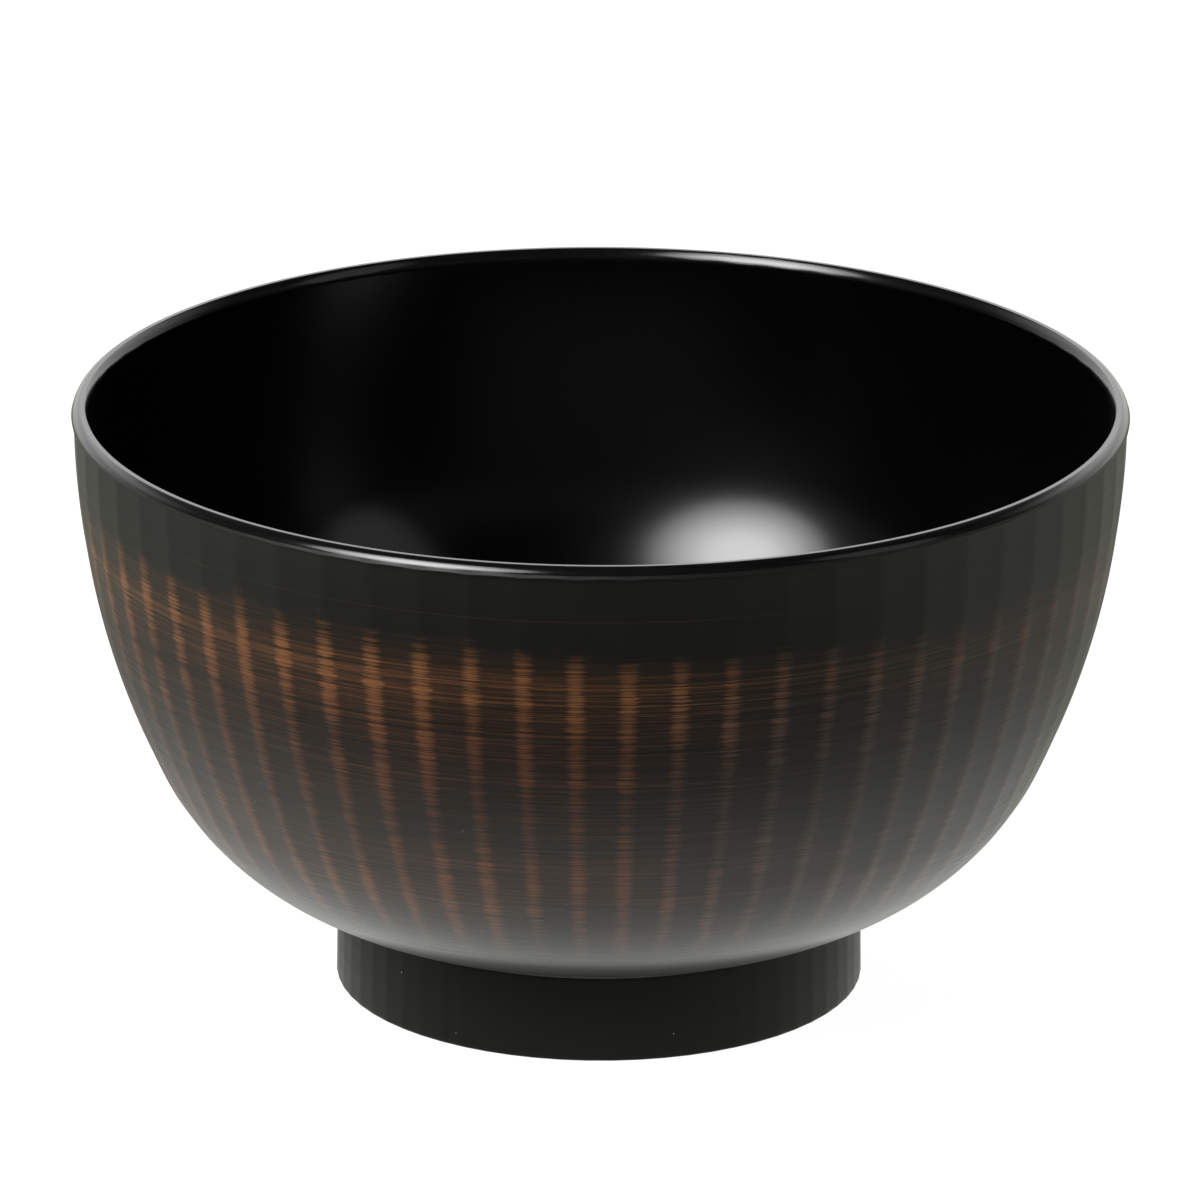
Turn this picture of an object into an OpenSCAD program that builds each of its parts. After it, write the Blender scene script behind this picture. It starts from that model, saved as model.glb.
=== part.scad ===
// Noodle bowl: a turned bowl with shallow flutes outside, a gloss coat inside that laps
// over the lip, and a faceted ring foot glued under it by a tongue in a groove.
// Millimetres, +Z up. The origin lies on the table, under the middle of the foot.

/* [Bowl] */
// Diameter over the lip
rim_d = 165.8; // [150:0.2:180]
// Height from the table to the top of the lip
bowl_h = 95; // [88:0.5:104]
// Radius of the long curve of the outside, which is upright under the lip
long_curve_r = 128.7; // [118:0.1:145]
// Radius of the tight curve of the outside, which runs down to the foot
tight_curve_r = 44; // [40:0.5:48]
// Thickness of the floor over the foot's seat, with its coat
floor_t = 9.8; // [6:0.1:12]

/* [Flutes] */
// Number of flutes around the bowl
flute_count = 64; // [48:1:68]
// Depth of a flute below the ridges on its two sides
flute_depth = 0.13; // [0.1:0.01:0.5]
// Height above the table where the flutes begin to run out
flute_full_z = 42; // [34:1:60]
// Height above the table where the flutes have run out
flute_end_z = 23; // [18:1:30]

/* [Lip and inside] */
// Width of the lip, with its coats
lip_w = 3; // [2.8:0.1:4]
// How far the coat on the lip stands out past the wall under it
lip_lap = 0.4; // [0.2:0.05:0.5]
// Rounding of the two edges of the lip
lip_round = 0.9; // [0.7:0.05:1.1]
// Height of the smooth band between the top of the lip and the flutes
lip_band_h = 2; // [1.6:0.1:4]
// How much the wall gains on its way down the long curve
wall_gain = 2.1; // [0:0.1:5]
// How much wider the inside turns to the floor than the outside turns to the foot
corner_gain = 4; // [0:0.5:6]
// Thickness of the gloss coat inside the bowl and over the lip
coat_t = 0.4; // [0.3:0.05:0.5]

/* [Foot] */
// Diameter of the foot where it meets the bowl
foot_d = 83.1; // [76:0.1:90]
// Height of the foot
foot_h = 14.2; // [11:0.1:17]
// How far the foot spreads outward on its way down
foot_spread = 0.2; // [0:0.05:2]
// Thickness of the foot's wall where it meets the bowl
foot_wall_t = 6; // [5:0.1:9]
// How far the inside of the foot draws back on its way down
foot_draw = 0.6; // [0:0.1:1]
// Rounding of the foot's two lower edges
foot_round = 0.5; // [0.2:0.1:0.8]
// Width of the tongue on top of the foot
tongue_w = 2; // [1.5:0.1:2.6]
// Height of the tongue on top of the foot
tongue_h = 2; // [1:0.1:2.5]
// Room for glue around the tongue
glue_gap = 0.1; // [0.05:0.01:0.2]
// Thickness of the coat under the bowl, inside the foot
base_coat_t = 0.4; // [0.3:0.05:0.8]
// Gap between that coat and the foot's wall
base_coat_gap = 0.1; // [0.05:0.01:0.3]

/* [Hidden] */
$fn = 180;
// Facets of the fluted skin: rows down each curve and columns across one flute
long_rows = 9;
tight_rows = 12;
flute_columns = 2;
// How far cutting shapes run past the faces that they cut
overrun = 1;

// Heights and radii that follow from the sizes above
rim_r = rim_d / 2;
wall_r = rim_r - lip_lap;
inner_rim_r = rim_r - lip_w;
band_z = bowl_h - lip_band_h;
floor_z = foot_h + floor_t;
foot_r = foot_d / 2;
foot_inner_r = foot_r - foot_wall_t;
tongue_inner_r = foot_inner_r + (foot_wall_t - tongue_w) / 2;
flute_pitch = 360 / flute_count;
columns = flute_count * flute_columns;

// The outside: a long curve from the lip band, then a tight curve through the foot's joint
outer_long_c = [wall_r - long_curve_r, band_z];
outer_tight_c = circles_meet(outer_long_c, long_curve_r - tight_curve_r, [foot_r, foot_h], tight_curve_r);
outer_turn_a = direction(outer_long_c, outer_tight_c);
outer_foot_a = direction(outer_tight_c, [foot_r, foot_h]);

// The inside: a long curve from the lip band, then a tight curve that runs level into the floor
inner_long_r = long_curve_r - (wall_r - inner_rim_r) - wall_gain;
inner_tight_r = tight_curve_r + corner_gain;
inner_long_c = [inner_rim_r - inner_long_r, band_z];
inner_drop = band_z - floor_z - inner_tight_r;
inner_reach = sqrt(pow(inner_long_r - inner_tight_r, 2) - pow(inner_drop, 2));
inner_tight_c = [inner_long_c[0] + inner_reach, floor_z + inner_tight_r];
inner_turn_a = direction(inner_long_c, inner_tight_c);

function direction(from, to) = atan2(to[1] - from[1], to[0] - from[0]);

function on_circle(centre, r, a) = centre + r * [cos(a), sin(a)];

// Point at distance ra from a and rb from b, on the left of the way from a to b
function circles_meet(a, ra, b, rb) =
    let (gap = norm(b - a),
         way = (b - a) / gap,
         along = (ra * ra - rb * rb + gap * gap) / (2 * gap),
         aside = sqrt(ra * ra - along * along))
    a + along * way + aside * [-way[1], way[0]];

// Rings of the fluted skin as [radius, height], from above the lip to just under the foot's seat
skin_rings = concat(
    [[wall_r, bowl_h + overrun], [wall_r, band_z + lip_band_h / 2]],
    [for (i = [1 : long_rows]) on_circle(outer_long_c, long_curve_r, outer_turn_a * i / long_rows)],
    [for (i = [1 : tight_rows + 1])
        on_circle(outer_tight_c, tight_curve_r,
                  outer_turn_a + (outer_foot_a - outer_turn_a) * i / (tight_rows + 0.5))]);

// Flute depth at a height: full above flute_full_z, easing out to nothing at flute_end_z
function flute_depth_at(z) =
    let (share = max(0, min(1, (z - flute_end_z) / (flute_full_z - flute_end_z))))
    flute_depth * share * share * (3 - 2 * share);

// A flute's middle faces the front, and its two ridges lie half a pitch to each side
function around(r, z, flutes) =
    let (a = flute_pitch * (flutes + 0.5) - 90)
    [r * cos(a), r * sin(a), z];

function skin_point(ring, column) =
    let (across = (column % flute_columns) / flute_columns)
    around(ring[0] - flute_depth_at(ring[1]) * 4 * across * (1 - across), ring[1], column / flute_columns);

// A closed solid through rings of points, from the top ring down to the bottom one
module ring_solid(rings) {
    count = len(rings[0]);
    last = len(rings) - 1;
    sides = [for (row = [0 : last - 1]) for (i = [0 : count - 1])
        let (above = row * count, below = above + count, next = (i + 1) % count)
        for (triangle = [[above + i, above + next, below + next], [above + i, below + next, below + i]])
            triangle];
    top = [for (i = [count - 1 : -1 : 0]) i];
    bottom = [for (i = [0 : count - 1]) last * count + i];
    polyhedron([for (ring = rings) each ring], concat([top, bottom], sides), convexity = 4);
}

// The fluted outside as one closed solid, reaching past the planes that trim it
module fluted_solid() {
    ring_solid([for (ring = skin_rings) [for (column = [0 : columns - 1]) skin_point(ring, column)]]);
}

// The outside of the foot: one flat facet under each flute
module foot_solid() {
    ring_solid([for (z = [foot_h + tongue_h + overrun, -overrun])
        [for (i = [0 : flute_count - 1]) around(foot_r + foot_spread * (1 - z / foot_h), z, i)]]);
}

// Half of the hollow, seen from the front, grown by some thickness into the wall
module hollow_half(grow) {
    turn_z = inner_tight_c[1] + (inner_tight_r + grow) * sin(inner_turn_a);
    intersection() {
        translate(inner_long_c) circle(inner_long_r + grow);
        translate([0, turn_z]) square([rim_r, band_z - turn_z]);
    }
    intersection() {
        union() {
            translate(inner_tight_c) circle(inner_tight_r + grow);
            translate([0, floor_z - grow]) square([inner_tight_c[0], inner_tight_r]);
        }
        translate([0, floor_z - grow]) square([rim_r, turn_z - floor_z + grow]);
    }
    translate([0, band_z]) square([inner_rim_r + grow, lip_band_h + overrun]);
}

// Half of the lip above the flutes, out to some radius, with two rounded edges, shrunk by some thickness
module lip_half(reach, shrink) {
    r = lip_round - shrink;
    left = inner_rim_r + shrink;
    right = reach - shrink;
    top = bowl_h - shrink;
    translate([left, band_z]) square([right - left, top - r - band_z]);
    translate([left + r, band_z]) square([right - left - 2 * r, top - band_z]);
    translate([left + r, top - r]) circle(r);
    translate([right - r, top - r]) circle(r);
}

// The turned wooden body: fluted wall, lip core under the coat, seat and groove for the foot
module bowl_body() {
    color("#2c2521")
    intersection() {
        fluted_solid();
        rotate_extrude() union() {
            lip_half(wall_r, coat_t);
            difference() {
                translate([0, foot_h]) square([rim_r + overrun, band_z - foot_h]);
                hollow_half(coat_t);
                translate([tongue_inner_r - glue_gap, foot_h - overrun])
                    square([tongue_w + 2 * glue_gap, tongue_h + glue_gap + overrun]);
            }
        }
    }
}

// The gloss coat: it lines the hollow and laps over the lip, where it stands out past the flutes
module inside_coat() {
    color("#0d0c0c")
    rotate_extrude() union() {
        difference() {
            lip_half(rim_r, 0);
            lip_half(wall_r, coat_t);
        }
        intersection() {
            difference() {
                hollow_half(coat_t);
                hollow_half(0);
            }
            square([rim_r, band_z]);
        }
    }
}

// The ring foot: a nearly upright wall in flat facets, with a tongue on top
module foot_ring() {
    outer_low = foot_r + foot_spread - foot_round;
    inner_low = foot_inner_r + foot_draw + foot_round;
    color("#171615")
    intersection() {
        foot_solid();
        rotate_extrude() union() {
            polygon([[inner_low, 0], [outer_low, 0], [outer_low, foot_round], [outer_low + overrun, foot_round],
                     [outer_low + overrun, foot_h], [foot_inner_r, foot_h], [inner_low - foot_round, foot_round]]);
            translate([inner_low, foot_round]) circle(foot_round);
            translate([outer_low, foot_round]) circle(foot_round);
            translate([tongue_inner_r, foot_h - overrun]) square([tongue_w, tongue_h + overrun]);
        }
    }
}

// The coat on the underside of the bowl, inside the foot
module base_coat() {
    color("#121111")
    translate([0, 0, foot_h - base_coat_t])
        cylinder(h = base_coat_t, r = foot_inner_r - base_coat_gap);
}

bowl_body();
inside_coat();
foot_ring();
base_coat();
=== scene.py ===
import math

import bpy
from mathutils import Matrix


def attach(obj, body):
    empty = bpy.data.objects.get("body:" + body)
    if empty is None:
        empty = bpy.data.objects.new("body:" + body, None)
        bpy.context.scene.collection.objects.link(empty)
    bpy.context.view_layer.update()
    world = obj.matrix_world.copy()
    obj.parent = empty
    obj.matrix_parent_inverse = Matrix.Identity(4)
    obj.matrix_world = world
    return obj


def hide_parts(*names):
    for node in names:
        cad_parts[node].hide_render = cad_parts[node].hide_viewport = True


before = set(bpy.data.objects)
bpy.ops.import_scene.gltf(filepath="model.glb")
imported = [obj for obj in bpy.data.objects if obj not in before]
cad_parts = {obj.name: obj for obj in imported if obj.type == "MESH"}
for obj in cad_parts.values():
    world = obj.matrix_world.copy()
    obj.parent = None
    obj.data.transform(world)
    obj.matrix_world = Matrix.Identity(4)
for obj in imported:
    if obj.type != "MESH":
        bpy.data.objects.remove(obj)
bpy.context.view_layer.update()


# Bowl body: one block of wood, turned to shape and carved with 64 shallow upright flutes.
# Its satin black lacquer is brushed around and rubbed through to copper brown along the ridges.
# The gloss coat covers its hollow and its lip, and the foot is glued into a groove under it.
MM = 0.001
rim_r = 82.9 * MM
wall_r = rim_r - 0.4 * MM
bowl_h = 95 * MM
band_z = bowl_h - 2 * MM
lip_w = 3 * MM
lip_round = 0.9 * MM
coat_t = 0.4 * MM
floor_z = 24 * MM
foot_r = 41.55 * MM
foot_h = 14.2 * MM
foot_inner_r = foot_r - 6 * MM
tongue_r = foot_inner_r + 2 * MM
tongue_w = 2 * MM
tongue_h = 2 * MM
glue_gap = 0.1 * MM
outer_long_r = 128.7 * MM
outer_tight_r = 44 * MM
inner_long_r = 124 * MM
inner_tight_r = 48 * MM
flute_count = 64
flute_depth = 0.13 * MM
flute_full_z = 42 * MM
flute_end_z = 23 * MM
hem_z = band_z + 0.26 * MM
hem_scallop = 0.2 * MM
scallop_h = 0.6 * MM


def direction(start, end):
    """Angle in degrees of the way from one point to another."""
    return math.degrees(math.atan2(end[1] - start[1], end[0] - start[0]))


def arc(centre, radius, start, end, steps):
    """Points on a circle from one angle to another, in degrees, both ends among them."""
    angles = [math.radians(start + (end - start) * i / steps) for i in range(steps + 1)]
    return [(centre[0] + radius * math.cos(a), centre[1] + radius * math.sin(a)) for a in angles]


def circles_meet(a, ra, b, rb):
    """The point at distance ra from a and rb from b, on the left of the way from a to b."""
    gap = math.dist(a, b)
    way = ((b[0] - a[0]) / gap, (b[1] - a[1]) / gap)
    along = (ra * ra - rb * rb + gap * gap) / (2 * gap)
    aside = math.sqrt(ra * ra - along * along)
    return (a[0] + along * way[0] - aside * way[1], a[1] + along * way[1] + aside * way[0])


def hollow_outline(grow, long_steps, tight_steps):
    """The hollow from the axis up to the lip band, grown by some thickness into the wall."""
    long_c = (rim_r - lip_w - inner_long_r, band_z)
    drop = band_z - floor_z - inner_tight_r
    reach = math.sqrt((inner_long_r - inner_tight_r) ** 2 - drop ** 2)
    tight_c = (long_c[0] + reach, floor_z + inner_tight_r)
    turn = direction(long_c, tight_c)
    tight = arc(tight_c, inner_tight_r + grow, -90, turn, tight_steps)
    long = arc(long_c, inner_long_r + grow, turn, 0, long_steps)
    return [(0, floor_z - grow)] + tight + long[1:]


def lip_core_outline():
    """Over the core of the lip, which the gloss coat covers, from the hollow to the outside."""
    r = lip_round - coat_t
    z = bowl_h - lip_round
    inner = arc((rim_r - lip_w + lip_round, z), r, 180, 90, 3)
    outer = arc((wall_r - lip_round, z), r, 90, 0, 3)
    return inner + outer


def plain(points):
    """Outline points with no fluting and no scallop."""
    return [(r, z, 0, 0) for r, z in points]


def fluting_at(z):
    """Share of the flutes' full depth at a height."""
    share = min(1, max(0, (z - flute_end_z) / (flute_full_z - flute_end_z)))
    return share * share * (3 - 2 * share)


def scallop_share(z):
    """Share of the hem's scallop that a point of the wall follows, full at the hem."""
    return max(0, 1 - abs(hem_z - z) / scallop_h)


def add_node(tree, kind, values=None, **settings):
    """A node with its settings, and a link or a plain value at each input that is named."""
    node = tree.nodes.new(kind)
    for name, value in settings.items():
        setattr(node, name, value)
    for key, value in (values or {}).items():
        if isinstance(value, bpy.types.NodeSocket):
            tree.links.new(value, node.inputs[key])
        else:
            node.inputs[key].default_value = value
    return node


def calc(tree, operation, *values):
    """The result of one Math node."""
    return add_node(tree, "ShaderNodeMath", dict(enumerate(values)), operation=operation).outputs[0]


def new_tree(name, kind, inputs, outputs):
    """A node group with named sockets, its inputs, and its output node."""
    tree = bpy.data.node_groups.new(name, kind)
    for socket, socket_type in inputs.items():
        tree.interface.new_socket(socket, in_out="INPUT", socket_type=socket_type)
    for socket, socket_type in outputs.items():
        tree.interface.new_socket(socket, in_out="OUTPUT", socket_type=socket_type)
    return tree, tree.nodes.new("NodeGroupInput").outputs, tree.nodes.new("NodeGroupOutput")


def make_turning_tree():
    """Turns an outline around the upright axis and carves the flutes and the hem's scallops."""
    weld_gap = 0.002 * MM
    sharp_bend = 35
    tree, given, result = new_tree(
        "turned piece", "GeometryNodeTree",
        {"Outline": "NodeSocketGeometry", "Flutes": "NodeSocketInt", "Columns per flute": "NodeSocketInt",
         "Flute depth": "NodeSocketFloat", "Hem scallop": "NodeSocketFloat",
         "Finish": "NodeSocketMaterial"},
        {"Piece": "NodeSocketGeometry"})
    outline = given["Outline"]
    size = add_node(tree, "GeometryNodeAttributeDomainSize", {"Geometry": outline}, component="MESH")
    columns = calc(tree, "MULTIPLY", given["Flutes"], given["Columns per flute"])
    ring_points = calc(tree, "ADD", columns, 1)
    grid = add_node(tree, "GeometryNodeMeshGrid",
                    {"Vertices X": size.outputs["Point Count"], "Vertices Y": ring_points})
    index = add_node(tree, "GeometryNodeInputIndex").outputs[0]
    row = calc(tree, "FLOOR", calc(tree, "DIVIDE", calc(tree, "ADD", index, 0.5), ring_points))
    column = calc(tree, "SUBTRACT", index, calc(tree, "MULTIPLY", row, ring_points))

    def on_outline(data_type, field):
        sampled = add_node(tree, "GeometryNodeSampleIndex", data_type=data_type)
        for key, value in {"Geometry": outline, "Index": row, "Value": field}.items():
            tree.links.new(value, sampled.inputs[key])
        return sampled.outputs[0]

    def stored(name):
        named = add_node(tree, "GeometryNodeInputNamedAttribute", {"Name": name}, data_type="FLOAT")
        return on_outline("FLOAT", named.outputs["Attribute"])

    place = on_outline("FLOAT_VECTOR", add_node(tree, "GeometryNodeInputPosition").outputs[0])
    point = add_node(tree, "ShaderNodeSeparateXYZ", {0: place}).outputs
    flutes_on = calc(tree, "DIVIDE", column, given["Columns per flute"])
    turn = calc(tree, "DIVIDE", calc(tree, "ADD", flutes_on, 0.5), given["Flutes"])
    angle = calc(tree, "MULTIPLY_ADD", turn, math.tau, -math.pi / 2)
    across = calc(tree, "FRACT", flutes_on)
    from_ridge = calc(tree, "MINIMUM", across, calc(tree, "SUBTRACT", 1, across))
    sag = calc(tree, "MULTIPLY", from_ridge, 4)
    hollow = calc(tree, "MULTIPLY", sag, calc(tree, "SUBTRACT", 1, from_ridge))
    full_depth = calc(tree, "MULTIPLY", given["Flute depth"], stored("fluting"))
    carved = calc(tree, "MULTIPLY", full_depth, hollow)
    radius = calc(tree, "SUBTRACT", point["X"], carved)
    crest = calc(tree, "SUBTRACT", 1, hollow)
    drop = calc(tree, "MULTIPLY", calc(tree, "MULTIPLY", given["Hem scallop"], stored("hem")), crest)
    turned = add_node(tree, "ShaderNodeCombineXYZ",
                      {"X": calc(tree, "MULTIPLY", radius, calc(tree, "COSINE", angle)),
                       "Y": calc(tree, "MULTIPLY", radius, calc(tree, "SINE", angle)),
                       "Z": calc(tree, "SUBTRACT", point["Z"], drop)})
    shape = add_node(tree, "GeometryNodeSetPosition",
                     {"Geometry": grid.outputs["Mesh"], "Position": turned.outputs[0]})
    for name, value in {"from_ridge": from_ridge, "run": stored("run")}.items():
        shape = add_node(tree, "GeometryNodeStoreNamedAttribute",
                         {"Geometry": shape.outputs[0], "Name": name, "Value": value},
                         data_type="FLOAT", domain="POINT")
    shape = add_node(tree, "GeometryNodeMergeByDistance",
                     {"Geometry": shape.outputs[0], "Distance": weld_gap})
    shape = add_node(tree, "GeometryNodeSetShadeSmooth", {"Geometry": shape.outputs[0]}, domain="FACE")
    bend = add_node(tree, "GeometryNodeInputMeshEdgeAngle").outputs["Unsigned Angle"]
    sharp = calc(tree, "GREATER_THAN", bend, math.radians(sharp_bend))
    shape = add_node(tree, "GeometryNodeSetShadeSmooth",
                     {"Geometry": shape.outputs[0], "Selection": sharp, "Shade Smooth": False},
                     domain="EDGE")
    shape = add_node(tree, "GeometryNodeRealizeInstances", {"Geometry": shape.outputs[0]})
    shape = add_node(tree, "GeometryNodeSetMaterial",
                     {"Geometry": shape.outputs[0], "Material": given["Finish"]})
    tree.links.new(shape.outputs[0], result.inputs["Piece"])
    return tree


turning_tree = make_turning_tree()


def turn_piece(name, outline, finish, columns_per_flute, depth, scallop):
    """A plain mesh object, turned from an outline that keeps the solid on its right."""
    mesh = bpy.data.meshes.new(name)
    points = [(r, 0, z) for r, z, fluting, hem in outline]
    edges = [(i, i + 1) for i in range(len(outline) - 1)]
    mesh.from_pydata(points, edges, [])
    run = [0]
    for before, after in zip(outline, outline[1:]):
        run.append(run[-1] + math.dist(before[:2], after[:2]))
    point_values = {"run": run, "fluting": [p[2] for p in outline], "hem": [p[3] for p in outline]}
    for key, values in point_values.items():
        mesh.attributes.new(key, "FLOAT", "POINT").data.foreach_set("value", values)
    piece = bpy.data.objects.new(name, mesh)
    bpy.context.scene.collection.objects.link(piece)
    turning = piece.modifiers.new("turning", "NODES")
    turning.node_group = turning_tree
    given = {"Flutes": flute_count, "Columns per flute": columns_per_flute, "Flute depth": depth,
             "Hem scallop": scallop, "Finish": finish}
    for socket in turning_tree.interface.items_tree:
        if socket.name in given:
            turning[socket.identifier] = given[socket.name]
    evaluated = piece.evaluated_get(bpy.context.evaluated_depsgraph_get())
    turned_mesh = bpy.data.meshes.new_from_object(evaluated)
    piece.modifiers.clear()
    piece.data = turned_mesh
    bpy.data.meshes.remove(mesh)
    turned_mesh.name = name
    return piece


def make_brush_group():
    """Fine lines that run level around a turned piece, as a brush or abrasive leaves them."""
    tree, given, result = new_tree(
        "brushed lines", "ShaderNodeTree",
        {"Line height": "NodeSocketFloat", "Line length": "NodeSocketFloat", "Detail": "NodeSocketFloat"},
        {"Lines": "NodeSocketFloat"})
    place = add_node(tree, "ShaderNodeTexCoord").outputs["Object"]
    point = add_node(tree, "ShaderNodeSeparateXYZ", {0: place}).outputs
    run = add_node(tree, "ShaderNodeAttribute", attribute_name="run").outputs["Fac"]
    stretched = add_node(tree, "ShaderNodeCombineXYZ",
                         {"X": calc(tree, "DIVIDE", point["X"], given["Line length"]),
                          "Y": calc(tree, "DIVIDE", point["Y"], given["Line length"]),
                          "Z": calc(tree, "DIVIDE", run, given["Line height"])})
    noise = add_node(tree, "ShaderNodeTexNoise",
                     {"Vector": stretched.outputs[0], "Scale": 1, "Detail": given["Detail"],
                      "Roughness": 0.6})
    tree.links.new(noise.outputs["Fac"], result.inputs["Lines"])
    return tree


def make_dust_group():
    """Sparse pale specks of dust."""
    tree, given, result = new_tree(
        "dust specks", "ShaderNodeTree",
        {"Spacing": "NodeSocketFloat", "Speck size": "NodeSocketFloat"}, {"Specks": "NodeSocketFloat"})
    place = add_node(tree, "ShaderNodeTexCoord").outputs["Object"]
    scale = calc(tree, "DIVIDE", 1, given["Spacing"])
    cells = add_node(tree, "ShaderNodeTexVoronoi", {"Vector": place, "Scale": scale})
    gap = calc(tree, "MULTIPLY", cells.outputs["Distance"], given["Spacing"])
    specks = calc(tree, "LESS_THAN", gap, given["Speck size"])
    tree.links.new(specks, result.inputs["Specks"])
    return tree


brush_group = make_brush_group()
dust_group = make_dust_group()


def place_group(tree, group, **values):
    """A shader group in a material, with its own values."""
    node = add_node(tree, "ShaderNodeGroup", node_tree=group)
    for name, value in values.items():
        node.inputs[name.replace("_", " ").capitalize()].default_value = value
    return node.outputs[0]


def smooth_step(tree, value, low, high, out_low=0.0, out_high=1.0):
    """A soft step of a value between two limits."""
    values = {"Value": value, "From Min": low, "From Max": high, "To Min": out_low, "To Max": out_high}
    return add_node(tree, "ShaderNodeMapRange", values, interpolation_type="SMOOTHSTEP").outputs[0]


def blend_colour(tree, share, low, high):
    """A mix of two colours by a share."""
    return add_node(tree, "ShaderNodeMix", {0: share, 6: low, 7: high}, data_type="RGBA").outputs[2]


def new_finish(name):
    """A material with its shader, and its node tree."""
    material = bpy.data.materials.new(name)
    material.use_nodes = True
    return material, material.node_tree, material.node_tree.nodes["Principled BSDF"]


def make_outside_finish():
    """Satin black lacquer, rubbed through to brown on the ridges and lower on the right; greyer on the
    right, partly wear and partly painted sheen and shade.
    """
    black = (0.0055, 0.0053, 0.005, 1)
    copper_brown = (0.155, 0.056, 0.025, 1)
    amber_brown = (0.215, 0.086, 0.033, 1)
    wear_and_sheen_grey_brown = (0.12, 0.074, 0.056, 1)
    dust_grey = (0.22, 0.215, 0.205, 1)
    # Heights in millimetres, each with the share of brown that shows there
    rub_heights = [(23, 0), (27, 0.2), (31, 0.6), (37, 0.9), (42, 0.68), (47, 0.5), (54, 0.43), (62, 0.52),
                   (68, 0.64), (72, 0.84), (76, 1), (79, 0.5), (83, 0)]
    score_heights = [(86.3, 0.08), (75.9, 0.4), (75.2, 0.6), (74.2, 0.3), (58.6, 0.5), (53.4, 0.15)]
    score_w = 0.16 * MM
    material, tree, shader = new_finish("satin black lacquer rubbed to brown")
    place = add_node(tree, "ShaderNodeTexCoord").outputs["Object"]
    point = add_node(tree, "ShaderNodeSeparateXYZ", {0: place}).outputs
    x = point["X"]
    z = point["Z"]
    from_ridge = add_node(tree, "ShaderNodeAttribute", attribute_name="from_ridge").outputs["Fac"]
    hatch = place_group(tree, brush_group, line_height=0.16 * MM, line_length=30 * MM, detail=1)
    breaks = place_group(tree, brush_group, line_height=0.5 * MM, line_length=3 * MM, detail=1)
    lines = place_group(tree, brush_group, line_height=0.28 * MM, line_length=40 * MM, detail=2.5)
    long_lines = place_group(tree, brush_group, line_height=0.3 * MM, line_length=160 * MM, detail=2)
    patches = add_node(tree, "ShaderNodeTexNoise",
                       {"Vector": place, "Scale": 75, "Detail": 2}).outputs["Fac"]

    hatch_swing = calc(tree, "SUBTRACT", hatch, 0.5)
    break_swing = calc(tree, "SUBTRACT", breaks, 0.5)
    patch_swing = calc(tree, "SUBTRACT", patches, 0.5)
    uneven_end = smooth_step(tree, x, -70 * MM, 60 * MM, -1 * MM, 3 * MM)
    lowered_z = calc(tree, "MULTIPLY_ADD", uneven_end, smooth_step(tree, z, 45 * MM, 70 * MM), z)
    ragged_z = calc(tree, "MULTIPLY_ADD", break_swing, 3 * MM, lowered_z)
    ragged_z = calc(tree, "MULTIPLY_ADD", patch_swing, 8 * MM, ragged_z)
    rub_ramp = add_node(tree, "ShaderNodeValToRGB", {0: calc(tree, "DIVIDE", ragged_z, bowl_h)})
    ramp = rub_ramp.color_ramp
    ramp.interpolation = "EASE"
    for i, (height, share) in enumerate(rub_heights):
        stop = ramp.elements[i] if i < 2 else ramp.elements.new(height * MM / bowl_h)
        stop.position = height * MM / bowl_h
        stop.color = (share, share, share, 1)
    ragged_edge = calc(tree, "MULTIPLY_ADD", hatch_swing, -0.3, from_ridge)
    ragged_edge = calc(tree, "MULTIPLY_ADD", break_swing, -0.08, ragged_edge)
    on_ridge = smooth_step(tree, calc(tree, "MULTIPLY_ADD", patch_swing, -0.12, ragged_edge), 0.27, 0)
    between = smooth_step(tree, long_lines, 0.4, 0.72, 0.12, 0.42)
    blotches = smooth_step(tree, patches, 0.3, 0.7, 0.7, 1.25)
    streaks = calc(tree, "MULTIPLY", smooth_step(tree, hatch, 0.32, 0.68, 0.3, 1.5), blotches)
    strength = calc(tree, "MULTIPLY", streaks, smooth_step(tree, breaks, 0.3, 0.7, 0.84, 1.16))
    rub_place = calc(tree, "MULTIPLY", calc(tree, "MAXIMUM", on_ridge, between), strength)
    rub = calc(tree, "MULTIPLY", rub_place, rub_ramp.outputs["Color"])
    wander = calc(tree, "MULTIPLY_ADD", patch_swing, 0.4 * MM, z)
    for height, share in score_heights:
        gap = calc(tree, "ABSOLUTE", calc(tree, "SUBTRACT", wander, height * MM))
        score = calc(tree, "MULTIPLY", blotches, smooth_step(tree, gap, score_w, 0, 0, share))
        rub = calc(tree, "MAXIMUM", rub, score)
    specks = place_group(tree, dust_group, spacing=6 * MM, speck_size=0.11 * MM)
    warm_brown = blend_colour(tree, smooth_step(tree, z, 64 * MM, 77 * MM), copper_brown, amber_brown)
    # Greyer brown on the right side: partly an uneven rub, partly painted sheen and painted shade for the
    # weaker key light there.
    wear_and_sheen_height = smooth_step(tree, z, 66 * MM, 76 * MM, 1, 0.55)
    wear_and_sheen_share = calc(tree, "MULTIPLY", smooth_step(tree, x, -5 * MM, 40 * MM), wear_and_sheen_height)
    brown = blend_colour(tree, wear_and_sheen_share, warm_brown, wear_and_sheen_grey_brown)
    rubbed = blend_colour(tree, rub, black, brown)
    tree.links.new(blend_colour(tree, specks, rubbed, dust_grey), shader.inputs["Base Color"])
    corner_dullness = smooth_step(tree, z, 24 * MM, 16 * MM, 0.18, 0.27)
    tree.links.new(calc(tree, "MULTIPLY_ADD", lines, 0.22, corner_dullness), shader.inputs["Roughness"])
    bump = add_node(tree, "ShaderNodeBump", {"Height": lines, "Strength": 1, "Distance": 0.006 * MM})
    tree.links.new(bump.outputs[0], shader.inputs["Normal"])
    shader.inputs["IOR"].default_value = 1.5
    return material


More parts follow.
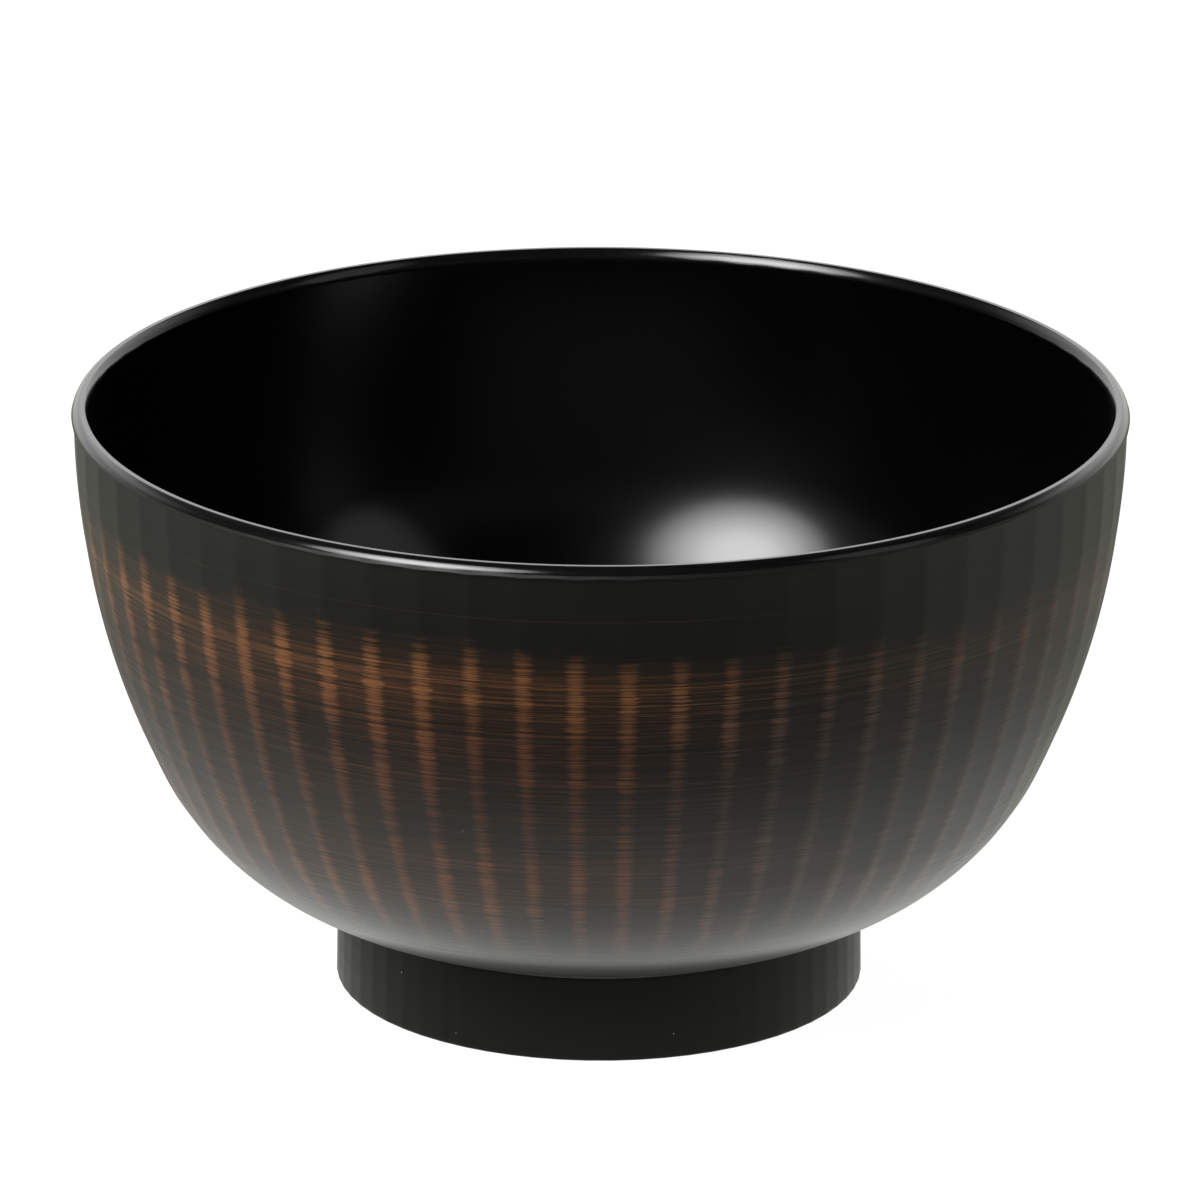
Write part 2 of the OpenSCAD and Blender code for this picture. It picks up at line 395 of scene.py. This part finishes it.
def body_outline():
    """From the floor of the hollow over the lip's core and down the flutes, to the underside."""
    long_c = (wall_r - outer_long_r, band_z)
    foot_joint = (foot_r, foot_h)
    tight_c = circles_meet(long_c, outer_long_r - outer_tight_r, foot_joint, outer_tight_r)
    turn = direction(long_c, tight_c)
    wall = arc(long_c, outer_long_r, 0, turn, 44)
    corner = arc(tight_c, outer_tight_r, turn, direction(tight_c, foot_joint), 30)
    outside = [(wall_r, hem_z)] + wall + corner[1:]
    flutes = [(r, z, fluting_at(z), scallop_share(z)) for r, z in outside]
    core_edge = (wall_r - coat_t, hem_z, 0, 1)
    groove_in = tongue_r - glue_gap
    groove_out = tongue_r + tongue_w + glue_gap
    groove_top = foot_h + tongue_h + glue_gap
    underside = [(groove_out, foot_h), (groove_out, groove_top), (groove_in, groove_top),
                 (groove_in, foot_h), (0, foot_h)]
    under_coat = hollow_outline(coat_t, long_steps=8, tight_steps=10) + lip_core_outline()
    return plain(under_coat) + [core_edge] + flutes + plain(underside)


bowl_body = turn_piece("bowl_body_fluted", body_outline(), make_outside_finish(),
                       columns_per_flute=12, depth=flute_depth, scallop=hem_scallop)
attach(bowl_body, "root")
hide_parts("bowl_body")


# Inside coat: gloss black lacquer over the hollow and the lip, flowed on and polished.
# It laps over the lip, stands 0.4 mm past the wall and ends in a dull hem, scalloped along the flutes.
# The lip keeps fine marks of the cloth that polished it.
bevel_r = 4 * MM
bevel_from = 42
bevel_to = 20
bevel_top_r = 0.25 * MM
bevel_foot_r = 1 * MM
shoulder_turn = 60
lip_side_r = 2.3 * MM
hem_lean = 24
hem_h = 0.6 * MM
hem_round = 0.12 * MM


def make_inside_finish():
    """Gloss black lacquer, a little worn over the lip and dull along the hem."""
    black = (0.0008, 0.0008, 0.0008, 1)
    worn_black = (0.009, 0.0088, 0.0085, 1)
    material, tree, shader = new_finish("gloss black lacquer")
    place = add_node(tree, "ShaderNodeTexCoord").outputs["Object"]
    z = add_node(tree, "ShaderNodeSeparateXYZ", {0: place}).outputs["Z"]
    on_lip = smooth_step(tree, z, bowl_h - 1.6 * MM, bowl_h - 0.9 * MM)
    outward = add_node(tree, "ShaderNodeVectorMath", {0: place, 1: (1, 1, 0)},
                       operation="MULTIPLY").outputs[0]
    reach = add_node(tree, "ShaderNodeVectorMath", {0: outward}, operation="LENGTH").outputs["Value"]
    outside = smooth_step(tree, reach, rim_r - 0.8 * MM, rim_r - 0.5 * MM)
    hem_top = hem_z + hem_h
    dull = calc(tree, "MULTIPLY", outside, smooth_step(tree, z, hem_top, hem_top - 0.12 * MM))
    marks = place_group(tree, brush_group, line_height=0.18 * MM, line_length=5 * MM, detail=2)
    flow = add_node(tree, "ShaderNodeTexNoise",
                    {"Vector": place, "Scale": 35, "Detail": 2}).outputs["Fac"]
    tree.links.new(blend_colour(tree, calc(tree, "MULTIPLY", on_lip, marks), black, worn_black),
                   shader.inputs["Base Color"])
    gloss = calc(tree, "MULTIPLY_ADD", flow, 0.04, 0.16)
    lip_gloss = calc(tree, "MULTIPLY_ADD", on_lip, -0.05, gloss)
    tree.links.new(calc(tree, "MULTIPLY_ADD", dull, 0.31, lip_gloss), shader.inputs["Roughness"])
    height = calc(tree, "MULTIPLY", on_lip, marks)
    bump = add_node(tree, "ShaderNodeBump", {"Height": height, "Strength": 1, "Distance": 0.01 * MM})
    tree.links.new(bump.outputs[0], shader.inputs["Normal"])
    shader.inputs["Specular IOR Level"].default_value = 0.55
    shader.inputs["IOR"].default_value = 1.5
    return material


def lip_outline():
    """Over the lip: a bevel inside, a flat top, and outside a shoulder, a rounding and the hem."""
    def cos(angle):
        return math.cos(math.radians(angle))

    def sin(angle):
        return math.sin(math.radians(angle))

    foot_z = bowl_h - bevel_top_r * (1 - sin(bevel_from)) - bevel_r * (sin(bevel_from) - sin(bevel_to))
    foot_c = (rim_r - lip_w + bevel_foot_r, foot_z - bevel_foot_r * sin(bevel_to))
    foot = arc(foot_c, bevel_foot_r, 180, 180 - bevel_to, 3)
    bevel_c = (foot[-1][0] + bevel_r * cos(bevel_to), foot_z - bevel_r * sin(bevel_to))
    bevel = arc(bevel_c, bevel_r, 180 - bevel_to, 180 - bevel_from, 8)
    top_c = (bevel[-1][0] + bevel_top_r * cos(bevel_from), bowl_h - bevel_top_r)
    top = arc(top_c, bevel_top_r, 180 - bevel_from, 90, 6)
    hem_turn = arc((rim_r - hem_round, hem_z + hem_round), hem_round, hem_lean, -90, 6)
    rise = hem_z + hem_h - hem_turn[0][1]
    slope = math.tan(math.radians(hem_lean))
    hem = [(hem_turn[0][0] - rise * share * slope, hem_turn[0][1] + rise * share)
           for share in (1, 0.9, 0.5, 0.1)]
    hem_top = hem[0]
    side_c = (hem_top[0] - lip_side_r * cos(hem_lean), hem_top[1] - lip_side_r * sin(hem_lean))
    side = arc(side_c, lip_side_r, shoulder_turn, hem_lean, 10)
    shoulder_r = (bowl_h - side[0][1]) / (1 - sin(shoulder_turn))
    shoulder_c = (side[0][0] - shoulder_r * cos(shoulder_turn), bowl_h - shoulder_r)
    shoulder = arc(shoulder_c, shoulder_r, 90, shoulder_turn, 8)
    return foot + bevel[1:] + top[1:] + shoulder + side[1:-1] + hem + hem_turn


def coat_outline():
    """Up the hollow's skin, over the lip and down to the hem, then back under the coat."""
    under_hem = [(wall_r - coat_t, hem_z)]
    scalloped = [(r, z, 0, scallop_share(z)) for r, z in lip_outline() + under_hem]
    under = hollow_outline(coat_t, long_steps=8, tight_steps=10) + lip_core_outline()
    return plain(hollow_outline(0, long_steps=40, tight_steps=40)) + scalloped + plain(under[::-1])


inside_coat = turn_piece("inside_coat_gloss", coat_outline(), make_inside_finish(),
                         columns_per_flute=8, depth=0, scallop=hem_scallop)
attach(inside_coat, "root")
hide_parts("inside_coat")


# Foot ring: a turned wooden ring in 64 faint flat facets, satin black.
# Its tongue is glued into the groove under the bowl, with a fine seam around the joint; the pale line
# there is a painted highlight on the ring's rounded top edge.
foot_spread = 0.2 * MM
foot_draw = 0.6 * MM
foot_round = 0.5 * MM
facet_depth = 0.05 * MM
joint_round = 0.35 * MM


def make_foot_finish():
    """Satin black lacquer with faint brush lines, duller than the bowl's."""
    black = (0.003, 0.0029, 0.0028, 1)
    worn_black = (0.0065, 0.0063, 0.006, 1)
    seam_highlight_grey = (0.16, 0.155, 0.15, 1)
    dust_grey = (0.4, 0.39, 0.38, 1)
    material, tree, shader = new_finish("satin black foot lacquer")
    lines = place_group(tree, brush_group, line_height=0.3 * MM, line_length=9 * MM, detail=2.5)
    specks = place_group(tree, dust_group, spacing=5 * MM, speck_size=0.12 * MM)
    brushed = blend_colour(tree, lines, black, worn_black)
    place = add_node(tree, "ShaderNodeTexCoord").outputs["Object"]
    z = add_node(tree, "ShaderNodeSeparateXYZ", {0: place}).outputs["Z"]
    # Painted highlight: a pale band on the rounded top edge, where light catches it at the joint.
    at_seam_highlight = smooth_step(tree, z, foot_h - 0.5 * MM, foot_h - 0.3 * MM)
    with_seam_highlight = blend_colour(tree, at_seam_highlight, brushed, seam_highlight_grey)
    tree.links.new(blend_colour(tree, specks, with_seam_highlight, dust_grey), shader.inputs["Base Color"])
    tree.links.new(calc(tree, "MULTIPLY_ADD", lines, 0.16, 0.3), shader.inputs["Roughness"])
    bump = add_node(tree, "ShaderNodeBump", {"Height": lines, "Strength": 1, "Distance": 0.006 * MM})
    tree.links.new(bump.outputs[0], shader.inputs["Normal"])
    shader.inputs["Specular IOR Level"].default_value = 0.1
    return material


def foot_outline():
    """Around the ring's section: down outside, in along the table, up inside and over the tongue."""
    top_c = (foot_r - joint_round, foot_h - joint_round)
    top = arc(top_c, joint_round, 90, 0, 3)
    low_r = foot_r + foot_spread
    wall_steps = 16
    wall = []
    for i in range(1, wall_steps):
        share = i / wall_steps
        wall.append((foot_r + foot_spread * share, top_c[1] + (foot_round - top_c[1]) * share))
    toe = arc((low_r - foot_round, foot_round), foot_round, 0, -90, 5)
    inner_low_r = foot_inner_r + foot_draw
    heel = arc((inner_low_r + foot_round, foot_round), foot_round, -90, -180, 5)
    tongue_top = foot_h + tongue_h
    joint = [(foot_inner_r, foot_h), (tongue_r, foot_h), (tongue_r, tongue_top),
             (tongue_r + tongue_w, tongue_top), (tongue_r + tongue_w, foot_h), top[0]]
    faceted = [(r, z, 1, 0) for r, z in top[1:] + wall + toe[:-1]]
    return plain(top[:1]) + faceted + plain(toe[-1:] + heel + joint)


foot_ring = turn_piece("foot_ring_faceted", foot_outline(), make_foot_finish(),
                       columns_per_flute=6, depth=facet_depth, scallop=0)
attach(foot_ring, "root")
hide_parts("foot_ring")


# Base coat: a thin coat of black lacquer on the underside of the bowl, inside the foot.
# It is brushed on after the foot is glued, and stops just short of the foot's wall.
base_coat_r = foot_inner_r - 0.1 * MM
base_coat_t = 0.4 * MM
base_coat_round = 0.2 * MM


def make_base_finish():
    """Half gloss black lacquer with a soft swirl of the brush."""
    black = (0.0055, 0.0053, 0.0052, 1)
    worn_black = (0.01, 0.0095, 0.009, 1)
    material, tree, shader = new_finish("half gloss base lacquer")
    swirl = place_group(tree, brush_group, line_height=0.6 * MM, line_length=12 * MM, detail=2)
    tree.links.new(blend_colour(tree, swirl, black, worn_black), shader.inputs["Base Color"])
    tree.links.new(calc(tree, "MULTIPLY_ADD", swirl, 0.12, 0.24), shader.inputs["Roughness"])
    bump = add_node(tree, "ShaderNodeBump", {"Height": swirl, "Strength": 1, "Distance": 0.006 * MM})
    tree.links.new(bump.outputs[0], shader.inputs["Normal"])
    return material


def base_outline():
    """Out along the glued face, around the rounded edge and back to the middle."""
    low = foot_h - base_coat_t
    edge = arc((base_coat_r - base_coat_round, low + base_coat_round), base_coat_round, 0, -90, 4)
    face = [(base_coat_r * share, low) for share in (0.85, 0.7, 0.55, 0.4, 0.25, 0.1, 0)]
    return plain([(0, foot_h), (base_coat_r, foot_h)] + edge + face)


base_coat = turn_piece("base_coat_disc", base_outline(), make_base_finish(),
                       columns_per_flute=3, depth=0, scallop=0)
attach(base_coat, "root")
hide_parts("base_coat")


# Floor: a plain white table under the bowl, with a very faint shadow.
# In reflections it is brightest close to the bowl and far behind it.
table_half = 3.0


def make_table_finish():
    """White to the camera, with the shadow, and in reflections bright near the bowl and far off."""
    near_tint = (0.99, 1, 0.95, 1)
    far_tint = (1, 1, 0.86, 1)
    material = bpy.data.materials.new("white table")
    material.use_nodes = True
    tree = material.node_tree
    tree.nodes.clear()
    place = add_node(tree, "ShaderNodeTexCoord").outputs["Object"]
    reach = add_node(tree, "ShaderNodeVectorMath", {0: place}, operation="LENGTH").outputs["Value"]
    y = add_node(tree, "ShaderNodeSeparateXYZ", {0: place}).outputs["Y"]
    behind = calc(tree, "DIVIDE", y, calc(tree, "ADD", reach, 1 * MM))
    far_front = smooth_step(tree, behind, -1.15, -0.1, 0.11, 0.39)
    far_back = calc(tree, "MULTIPLY", far_front, smooth_step(tree, behind, -0.1, 0.6, 1, 0.8))
    far = calc(tree, "MULTIPLY", far_back, smooth_step(tree, reach, 0.35, 0.8, 1, 3.2))
    oval_place = add_node(tree, "ShaderNodeVectorMath", {0: place, 1: (0.88, 1, 0)},
                          operation="MULTIPLY").outputs[0]
    oval_reach = add_node(tree, "ShaderNodeVectorMath", {0: oval_place},
                          operation="LENGTH").outputs["Value"]
    near_front = smooth_step(tree, oval_reach, 38 * MM, 150 * MM, 1.1, 0)
    near = calc(tree, "MULTIPLY", near_front, smooth_step(tree, behind, -0.9, 0.3, 1, 0.45))
    tint = blend_colour(tree, smooth_step(tree, oval_reach, 50 * MM, 200 * MM), near_tint, far_tint)
    lit = add_node(tree, "ShaderNodeEmission", {"Color": tint, "Strength": calc(tree, "ADD", far, near)})
    white = add_node(tree, "ShaderNodeEmission", {"Color": (1, 1, 1, 1), "Strength": 0.97})
    shaded = add_node(tree, "ShaderNodeBsdfDiffuse", {"Color": (0.2, 0.2, 0.2, 1)})
    seen = add_node(tree, "ShaderNodeAddShader", {0: white.outputs[0], 1: shaded.outputs[0]})
    camera_ray = add_node(tree, "ShaderNodeLightPath").outputs["Is Camera Ray"]
    mixed = add_node(tree, "ShaderNodeMixShader", {0: camera_ray, 1: lit.outputs[0], 2: seen.outputs[0]})
    add_node(tree, "ShaderNodeOutputMaterial", {"Surface": mixed.outputs[0]})
    return material


table_mesh = bpy.data.meshes.new("table")
table_corners = [(-table_half, -table_half, 0), (table_half, -table_half, 0),
                 (table_half, table_half, 0), (-table_half, table_half, 0)]
table_mesh.from_pydata(table_corners, [], [(0, 1, 2, 3)])
table_mesh.materials.append(make_table_finish())
table = bpy.data.objects.new("table", table_mesh)
bpy.context.scene.collection.objects.link(table)


# Studio: an oval soft box to the left of the camera, brighter towards its middle, and a weak fill
# at the right. A bright low wall behind the bowl fades to a dim room in front and above.
aim_z = 55 * MM


def add_soft_box(name, azimuth, elevation, distance, width, height, radiance):
    """An oval light that faces the bowl, placed by its angles from the front."""
    light = bpy.data.lights.new(name, "AREA")
    light.shape = "ELLIPSE"
    light.size = width
    light.size_y = height
    light.energy = radiance * math.pi * math.pi / 4 * width * height
    lamp = bpy.data.objects.new(name, light)
    aim = Matrix.Translation((0, 0, aim_z)) @ Matrix.Rotation(math.radians(azimuth), 4, "Z")
    lean = Matrix.Rotation(math.radians(90 - elevation), 4, "X")
    lamp.matrix_world = aim @ lean @ Matrix.Translation((0, 0, distance))
    lamp.visible_camera = False
    bpy.context.scene.collection.objects.link(lamp)


for part, share in enumerate((1, 0.72, 0.44)):
    add_soft_box(f"key soft box {part}", azimuth=-44.5, elevation=42, distance=1.1 - 0.01 * part,
                 width=0.82 * share, height=0.8 * share, radiance=5.2)
add_soft_box("right fill", azimuth=66, elevation=34, distance=1.2, width=0.5, height=0.75,
             radiance=0.45)

world = bpy.data.worlds.new("studio")
world.use_nodes = True
bpy.context.scene.world = world
sky = world.node_tree
sky.nodes.clear()
sky_place = add_node(sky, "ShaderNodeTexCoord").outputs["Generated"]
way = add_node(sky, "ShaderNodeSeparateXYZ", {0: sky_place}).outputs
wall_share = smooth_step(sky, way["Y"], 0.1, 0.9, 0.03, 1)
low_share = smooth_step(sky, way["Z"], 0.62, 0.42, 0.1, 1)
glow = smooth_step(sky, way["Z"], 0.2, 0.36, 1.3, 2)
room = calc(sky, "MULTIPLY", calc(sky, "MULTIPLY", wall_share, low_share), glow)
seen_by_camera = add_node(sky, "ShaderNodeLightPath").outputs["Is Camera Ray"]
brightness = calc(sky, "MAXIMUM", room, seen_by_camera)
backdrop = add_node(sky, "ShaderNodeBackground", {"Color": (1, 1, 1, 1), "Strength": brightness})
add_node(sky, "ShaderNodeOutputWorld", {"Surface": backdrop.outputs[0]})


# Camera: a long lens a little above the bowl, as the photograph was taken.
camera_distance = 1659.65 * MM
camera_height = 629.45 * MM
camera_side = -0.27
camera_pitch = 18.882
camera_roll = 0.185
lens = bpy.data.cameras.new("camera")
lens.sensor_width = 36
lens.lens = 333.8
lens.clip_end = 20
camera = bpy.data.objects.new("camera", lens)
side_turn = Matrix.Rotation(math.radians(camera_side), 4, "Z")
stand = side_turn @ Matrix.Translation((0, -camera_distance, camera_height))
tilt = Matrix.Rotation(math.radians(90 - camera_pitch), 4, "X")
camera.matrix_world = stand @ tilt @ Matrix.Rotation(math.radians(camera_roll), 4, "Z")
bpy.context.scene.collection.objects.link(camera)
bpy.context.scene.camera = camera
bpy.context.scene.view_settings.view_transform = "Standard"
